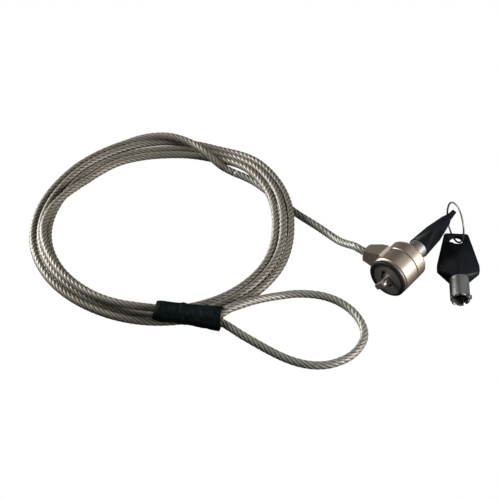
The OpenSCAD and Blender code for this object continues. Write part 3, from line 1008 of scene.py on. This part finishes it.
@dataclass(frozen=True)
class ShrinkSleeve:
    """The wrinkled heat-shrink sleeve over the loop's crimp, sizes in millimetres.

    Attributes:
        start: Middle of its end on the coil's side.
        length: Its length.
        width: Width before it is drawn in.
        height: Height before it is drawn in.
        wall: Thickness of its wall.
        sides: Number of points round it.
        rings: Number of bands along it.
    """

    start: Point = (-73.898, -83.906, -2.1)
    length: float = 32.0
    width: float = 9.7
    height: float = 7.6
    wall: float = 0.8
    sides: int = 72
    rings: int = 48

    def build(self, finish: bpy.types.Material) -> bpy.types.Object:
        """Makes the sleeve from a cylinder: cuts rings in and draws its skin over the crimp.

        Args:
            finish: Its material.

        Returns:
            The sleeve.
        """
        bpy.ops.object.select_all(action="DESELECT")
        bpy.ops.mesh.primitive_cylinder_add(
            vertices=self.sides, radius=0.5, depth=1.0, end_fill_type="NOTHING"
        )
        sleeve = bpy.context.object
        sleeve.name = "shrink_sleeve"
        bpy.ops.object.mode_set(mode="EDIT")
        for i in range(1, self.rings):
            bpy.ops.mesh.select_all(action="SELECT")
            bpy.ops.mesh.bisect(plane_co=(0, 0, i / self.rings - 0.5), plane_no=(0, 0, 1))
        bpy.ops.object.mode_set(mode="OBJECT")
        for v in sleeve.data.vertices:
            v.co = self._drawn(v.co.z + 0.5, math.atan2(v.co.y, v.co.x))
        wall = sleeve.modifiers.new("wall", "SOLIDIFY")
        wall.thickness = self.wall * MM
        wall.offset = 1.0
        select_only(sleeve)
        bpy.ops.object.modifier_apply(modifier="wall")
        bpy.ops.object.mode_set(mode="EDIT")
        bpy.ops.mesh.select_all(action="SELECT")
        bpy.ops.mesh.normals_make_consistent(inside=False)
        bpy.ops.object.mode_set(mode="OBJECT")
        smooth_by_angle(sleeve, 50)
        sleeve.data.materials.append(finish)
        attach(sleeve, Body.COLLAR.value)
        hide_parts("loop_sleeve")
        return sleeve

    def _drawn(self, t: float, a: float) -> Point:
        """Where a point of the skin comes to lie.

        Args:
            t: Where along the sleeve, from 0 to 1.
            a: Angle round the sleeve.

        Returns:
            The point in metres.
        """
        c, s = math.cos(SLEEVE_TURN), math.sin(SLEEVE_TURN)
        inset, stretch, squareness = 0.6, 0.2, 2.5
        straight = (self.width - self.height) / 2
        r = self.height / 2 + self._skin(t, a) + self._flare(t, a)
        flat = math.copysign(min(1.0, abs(math.cos(a)) * squareness), math.cos(a))
        across = r * math.cos(a) + straight * flat
        rise = r * math.sin(a)
        run = inset + t * (self.length + stretch)
        ragged_start = (1 - t) ** 6 * 0.6 * (1 + math.sin(a + 0.6))
        ragged_end = t ** 8 * 0.25 * (1 + math.sin(2 * a))
        run += ragged_start - ragged_end
        return (
            (self.start[0] + run * c - across * s) * MM,
            (self.start[1] + run * s + across * c) * MM,
            (self.start[2] + rise) * MM,
        )

    @staticmethod
    def _flare(t: float, a: float) -> float:
        """How the sleeve opens towards the loop and tightens on the coil's side.

        Args:
            t: Where along the sleeve, from 0 to 1.
            a: Angle round the sleeve.

        Returns:
            Offset in millimetres.
        """
        lower = max(0.0, math.cos(a + math.pi * 0.72))
        upper = max(0.0, math.cos(a - math.pi * 0.28))
        open_end = ease((t - 0.5) / 0.5)
        tight_end = 1 - ease(t / 0.13)
        settled = 0.55 * upper - 0.25 * lower
        return settled + open_end * (1.0 * lower + 0.75 * upper) - tight_end * (0.35 + 0.35 * lower)

    @staticmethod
    def _skin(t: float, a: float) -> float:
        """How far the skin stands from its plain radius, never outside it.

        Args:
            t: Where along the sleeve, from 0 to 1.
            a: Angle round the sleeve; a quarter of pi is its upper edge.

        Returns:
            Offset in millimetres.
        """
        upper = math.cos(a - math.pi / 4)
        bump = math.exp(-(((t - 0.42) / 0.045) ** 2)) * max(upper, 0.0)
        waist = 0.42 - 0.40 * bump - 0.22 * math.exp(-(((t - 0.05) / 0.05) ** 2))
        dent = 0.26 * math.exp(-(((t - 0.34) / 0.05) ** 2)) * max(-upper, 0.0)
        crease = 0.0
        for at, width, depth, slant in CREASES:
            off = t - at - slant * math.sin(a + 9 * at) - 0.012 * math.sin(3 * a + 20 * at)
            uneven = 0.6 + 0.4 * math.sin(2 * a + 31 * at)
            crease += depth * math.exp(-((off / width) ** 2)) * uneven
        ripple = 0.05 * (1 + math.sin(23 * t + 2 * a)) + 0.03 * (1 + math.sin(47 * t - 3 * a))
        return -0.04 - waist - dent - crease - ripple


@dataclass(frozen=True)
class KeyBow:
    """A moulded key bow, from a merged copy of its CAD node with its edges rounded.

    Attributes:
        node: CAD node that it takes the place of.
        body: Body that it rides on.
        rounding: Radius of its edges in metres.
        steps: Faces across a rounded edge.
    """

    node: str
    body: Body
    rounding: float = 0.30 * MM
    steps: int = 3

    def build(self, frame: Dict[str, object], finish: bpy.types.Material) -> bpy.types.Object:
        """Makes the bow.

        Args:
            finish: Its material.

        Returns:
            The bow.
        """
        source = frame["nodes"][self.node]
        bow = bpy.data.objects.new(self.node + "_moulded", source.data.copy())
        bpy.context.scene.collection.objects.link(bow)
        select_only(bow)
        bpy.ops.object.mode_set(mode="EDIT")
        bpy.ops.mesh.select_all(action="SELECT")
        bpy.ops.mesh.remove_doubles(threshold=0.01 * MM)
        bpy.ops.mesh.dissolve_limited(angle_limit=math.radians(1.0))
        bpy.ops.object.mode_set(mode="OBJECT")
        round_edges = bow.modifiers.new("round", "BEVEL")
        round_edges.width = self.rounding
        round_edges.segments = self.steps
        round_edges.limit_method = "ANGLE"
        round_edges.angle_limit = math.radians(28)
        round_edges.use_clamp_overlap = True
        bpy.ops.object.modifier_apply(modifier="round")
        smooth_by_angle(bow, 26)
        bow.data.materials.clear()
        bow.data.materials.append(finish)
        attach(bow, self.body.value)
        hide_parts(self.node)
        return bow


# --------------------------------------------------------------------------- the scene


NODE_SLOTS: Dict[str, Slot] = {
    "swivel_collar": Slot.BARREL,
    "lock_housing": Slot.BARREL,
    "end_ferrule": Slot.FERRULE,
    "loop_crimp": Slot.FERRULE,
    "front_flange": Slot.FACE,
    "contact_ring": Slot.RUBBER,
    "t_bar": Slot.TEE,
    "pin_chamber": Slot.CHAMBER,
    "lock_plug": Slot.CHAMBER,
    "driver_pins": Slot.PIN_BRASS,
    "key_pins": Slot.PIN_BRASS,
    "chamber_dowel": Slot.PIN_STEEL,
    "stop_pin": Slot.PIN_STEEL,
    "pin_springs": Slot.PIN_STEEL,
    "t_bar_pin": Slot.PIN_STEEL,
    "tail_clip": Slot.CLIP,
    "key_1_tube": Slot.KEY_METAL,
    "key_2_tube": Slot.KEY_METAL,
    "key_ring": Slot.RING,
}


class CableLock:
    """Builds the whole scene round the loaded frame."""

    def __init__(self, frame: Dict[str, object]) -> None:
        """Keeps the frame and builds the shared effects.
        """
        self.frame = frame
        self.effects = Effects()

    def build(self) -> None:
        """Makes the camera, the cable, the finishes, the pieces and the light, in that order."""
        CameraSpec().build()
        self._cable()
        self._finishes()
        self._pieces()
        build_world()
        for lamp in LAMPS:
            lamp.build()
        bpy.context.scene.view_settings.view_transform = "Standard"

    def _finish(self, slot: Slot) -> bpy.types.Material:
        """The material of a slot."""
        return FINISHES[slot].build(self.effects)

    def _cable(self) -> None:
        """Makes the lead, the coil and the loop."""
        step = 1.3
        to_coil, round_coil, round_eye = (smooth(r, step) for r in (LEAD, Coil().route(), LOOP))
        # The lead and the loop take the rope copy painted lighter, the coil the copy painted
        # darker.
        lead = Cable("cable_lead_rope", "cable_lead", to_coil, "ends", "object", "loose")
        coil = Cable(
            "cable_coil_rope", "cable_coil", round_coil, "main", "object", "coiled",
            start_at=lead.length,
        )
        loop = Cable(
            "cable_loop_rope", "cable_loop", round_eye, "ends", "object", "loose",
            start_at=lead.length + coil.length,
        )
        nodes = self.frame["nodes"]
        lead.build(self.effects, [nodes["end_ferrule"]])
        coil.build(self.effects, [nodes["loop_crimp"]])
        loop.build(self.effects, [])

    def _finishes(self) -> None:
        """Gives every shown CAD node its finish."""
        for name, slot in NODE_SLOTS.items():
            node = self.frame["nodes"][name]
            node.data.materials.clear()
            node.data.materials.append(self._finish(slot))

    def _pieces(self) -> None:
        """Makes the pieces that take the place of CAD nodes."""
        ShrinkSleeve().build(self._finish(Slot.SHRINK))
        KeyBow("key_1_bow", Body.KEY_1).build(self.frame, self._finish(Slot.KEY_PLASTIC))
        KeyBow("key_2_bow", Body.KEY_2).build(self.frame, self._finish(Slot.KEY_PLASTIC))


def main() -> None:
    """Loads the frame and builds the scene."""
    logging.basicConfig(level=logging.INFO)
    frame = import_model()
    CableLock(frame).build()


if __name__ == "__main__":
    main()
